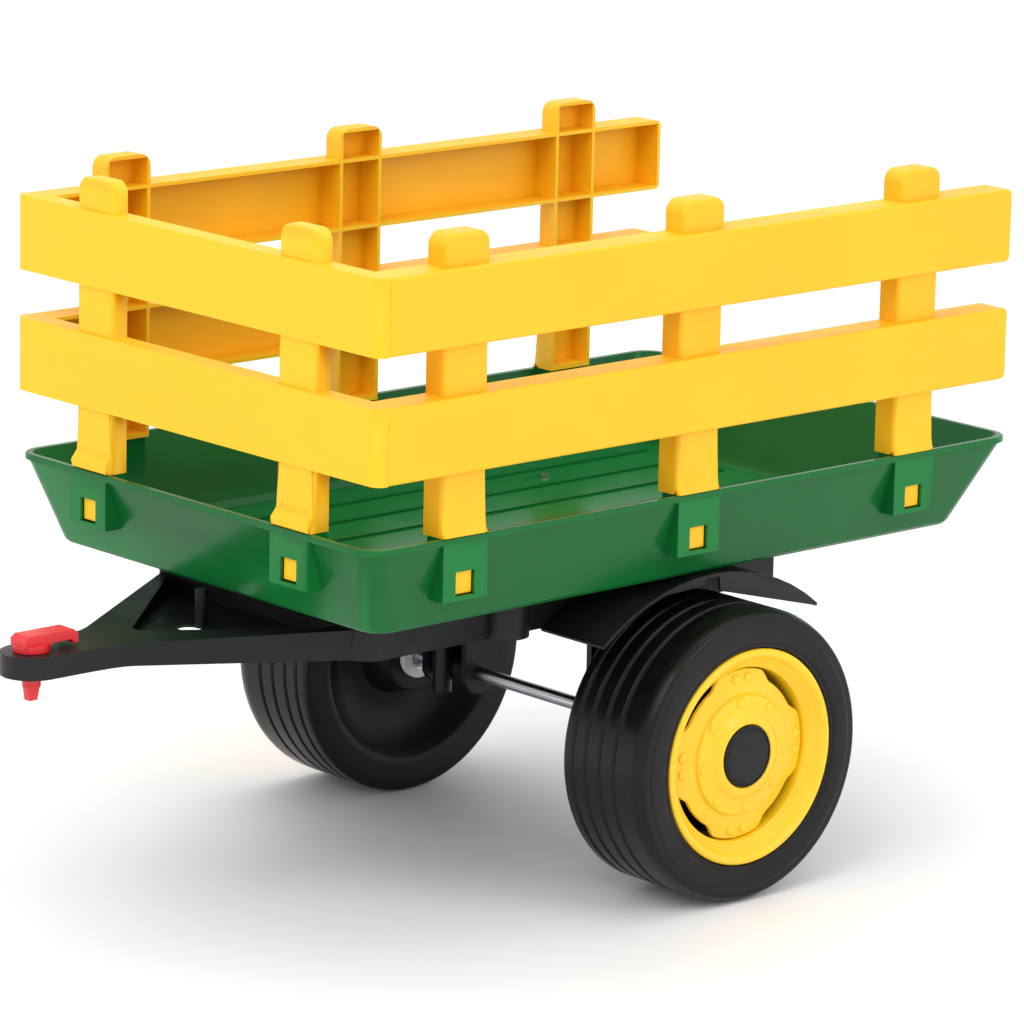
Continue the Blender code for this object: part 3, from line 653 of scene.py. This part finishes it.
def bolt_heads():
    """Round bolt heads: a pair on each lobe and eight on the raised ring."""
    size = BOLT_RADIUS
    sink = -0.0010
    dome = [(sink, 0.0), (sink, size), (0.0008, size), (0.0015, size * 0.86), (0.0019, size * 0.6)]
    dome.append((0.0021, 0.0))
    pair = (-LOBE_BOLT_ANGLE, LOBE_BOLT_ANGLE)
    places = [(LOBE_BOLTS, math.radians(90 * k + side)) for k in range(4) for side in pair]
    places += [(RING_BOLTS, math.radians(45 * k + RING_BOLT_ANGLE)) for k in range(8)]
    shape = bmesh.new()
    for radius, angle in places:
        base = disc_height(radius, angle)
        centre = Vector((base, radius * math.sin(angle), radius * math.cos(angle)))
        head = turned(dome, BOLT_STEPS, closed=False)
        copies = {}
        for vertex in head.verts:
            copies[vertex] = shape.verts.new(vertex.co + centre)
        for face in head.faces:
            shape.faces.new([copies[vertex] for vertex in face.verts])
        head.free()
    return shape


def cap_profile():
    """The hub cap: a flat face with a fine groove near its rounded edge, and a hollow back."""
    face, radius = cap_high.x, CAP_RADIUS
    edge = 0.0010
    groove_depth = 0.0005
    wall = radius - 0.0024
    inside = cap_low.x + 0.0060
    points = [(face, 0.0), (face, 0.0120), (face - 0.0001, radius - 0.0034)]
    points += [(face - groove_depth, radius - 0.0031), (face - groove_depth, radius - 0.0025)]
    points.append((face, radius - 0.0022))
    points += bend((face - edge, radius - edge), edge, 80, 0, 4)
    return points + [(cap_low.x, radius), (cap_low.x, wall), (inside, wall), (inside, 0.0)]


def bush_profile(low, high):
    """A flanged bush with a rounded flange."""
    bore = 0.0063
    sleeve = 0.0115
    flange = 0.0200
    flange_back = low.x + 0.0055
    edge = 0.0010
    points = [(low.x, bore), (low.x, flange - 0.0015)]
    points += bend((low.x + edge, flange - edge), edge, 180, 90, 3)
    points += bend((flange_back - edge, flange - edge), edge, 90, 0, 3)
    return points + [(flange_back, sleeve), (high.x, sleeve), (high.x, bore)]


def mirror(shape):
    """The same shape on the other side, its faces still out."""
    bmesh.ops.scale(shape, vec=(-1.0, 1.0, 1.0), verts=shape.verts)
    bmesh.ops.reverse_faces(shape, faces=shape.faces)
    return shape


def wheel_piece(side, part, shape, slot, replaced):
    """A turned piece on the axle's line."""
    shape = mirror(shape) if side == "right" else shape
    piece = new_piece(f"{side}_{part}", shape, WHEEL_CENTRE)
    piece.data.set_sharp_from_angle(angle=TURNED_CREASE)
    finish_piece(piece, slot, f"{side}_wheel_body", replaced)


def make_wheels():
    """Tyre, barrel, lobed centre, bolt heads, cap and inner bush of both wheels."""
    tyre = tyre_outside() + tyre_inner_side() + tyre_hollow()
    bush = bush_profile(*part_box("left_inner_bush"))
    for side in ("left", "right"):
        wheel_piece(side, "tyre", turned(tyre), "tyre", [f"{side}_wheel"])
        wheel_piece(side, "rim_barrel", turned(barrel_profile()), "hub_disc", [f"{side}_hub_disc"])
        wheel_piece(side, "rim_centre", centre_disc(), "hub_disc", [])
        wheel_piece(side, "bolt_heads", bolt_heads(), "hub_disc", [])
        cap = turned(cap_profile(), SMALL_ROUND_STEPS, closed=False)
        wheel_piece(side, "cap", cap, "black_plastic", [f"{side}_hub_cap"])
        flanged = turned(bush, SMALL_ROUND_STEPS)
        wheel_piece(side, "inner_flanged_bush", flanged, "bush", [f"{side}_inner_bush"])


# CAD nodes that stay


def paint_remaining():
    """Gives every CAD node that still shows its slot's material."""
    slots = {row["node"]: row["material_slot"] for row in frame["record"]["subparts"]}
    for name, node in nodes.items():
        if node.hide_render:
            continue
        node.data.materials.clear()
        node.data.materials.append(MATERIALS[slots[name]])
        for polygon in node.data.polygons:
            polygon.use_smooth = True
        node.data.set_sharp_from_angle(angle=CAD_CREASE)


# Stage


def make_floor():
    """A wide pale floor, a hair below the tyres."""
    bpy.ops.mesh.primitive_circle_add(vertices=96, radius=60.0, fill_type="NGON", location=(0, 0, -0.0004))
    floor = bpy.context.object
    floor.name = "studio_floor"
    material, tree, shader = start_material("studio_floor", (0.96, 0.96, 0.96), 0.55)
    patches = spread(tree, noise(tree, scale=3.0, detail=3.0), 0.0, 1.0)
    tone = mixed(tree, patches, (0.955, 0.955, 0.96), (0.965, 0.965, 0.965))
    tree.links.new(tone, shader.inputs["Base Color"])
    shader.inputs["Specular IOR Level"].default_value = 0.25
    floor.data.materials.append(material)


def make_light(name, place, size, power):
    """A rectangular softbox that faces the trailer."""
    target = Vector((0.0, 0.0, 0.25))
    data = bpy.data.lights.new(name, "AREA")
    data.shape = "RECTANGLE"
    data.size, data.size_y = size
    data.energy = power
    light = bpy.data.objects.new(name, data)
    light.location = place
    light.rotation_mode = "QUATERNION"
    light.rotation_quaternion = (target - Vector(place)).to_track_quat("-Z", "Y")
    bpy.context.scene.collection.objects.link(light)


def make_lights():
    """A white surround and three softboxes."""
    world = bpy.data.worlds.new("studio")
    world.use_nodes = True
    background = world.node_tree.nodes["Background"]
    background.inputs["Color"].default_value = (1.0, 1.0, 1.0, 1.0)
    background.inputs["Strength"].default_value = 1.0
    bpy.context.scene.world = world
    make_light("key", place=(1.2, -3.0, 3.4), size=(2.4, 2.0), power=44.0)
    make_light("side", place=(3.6, 1.2, 2.2), size=(2.0, 2.0), power=26.0)
    make_light("top", place=(-0.6, 0.6, 3.6), size=(3.0, 3.0), power=28.0)


def make_camera():
    """A long lens from the trailer's front left. Azimuth is from -Y towards +X."""
    azimuth, elevation, roll = (math.radians(a) for a in (47.898, 13.186, 1.259))
    distance = 4.7766
    target = Vector((-0.0003, 0.0812, 0.2881))
    back = Vector((
        math.sin(azimuth) * math.cos(elevation),
        -math.cos(azimuth) * math.cos(elevation),
        math.sin(elevation),
    ))
    right = Vector((math.cos(azimuth), math.sin(azimuth), 0.0))
    up = back.cross(right)
    rolled_right = math.cos(roll) * right + math.sin(roll) * up
    rolled_up = -math.sin(roll) * right + math.cos(roll) * up
    data = bpy.data.cameras.new("camera")
    data.sensor_width = 36.0
    data.lens = 198.13
    camera = bpy.data.objects.new("camera", data)
    turn = Matrix((rolled_right, rolled_up, back)).transposed().to_4x4()
    camera.matrix_world = Matrix.Translation(target + back * distance) @ turn
    bpy.context.scene.collection.objects.link(camera)
    bpy.context.scene.camera = camera


make_fences()
make_mouldings()
make_wheels()
paint_remaining()
make_floor()
make_lights()
make_camera()
bpy.context.scene.view_settings.view_transform = "Standard"
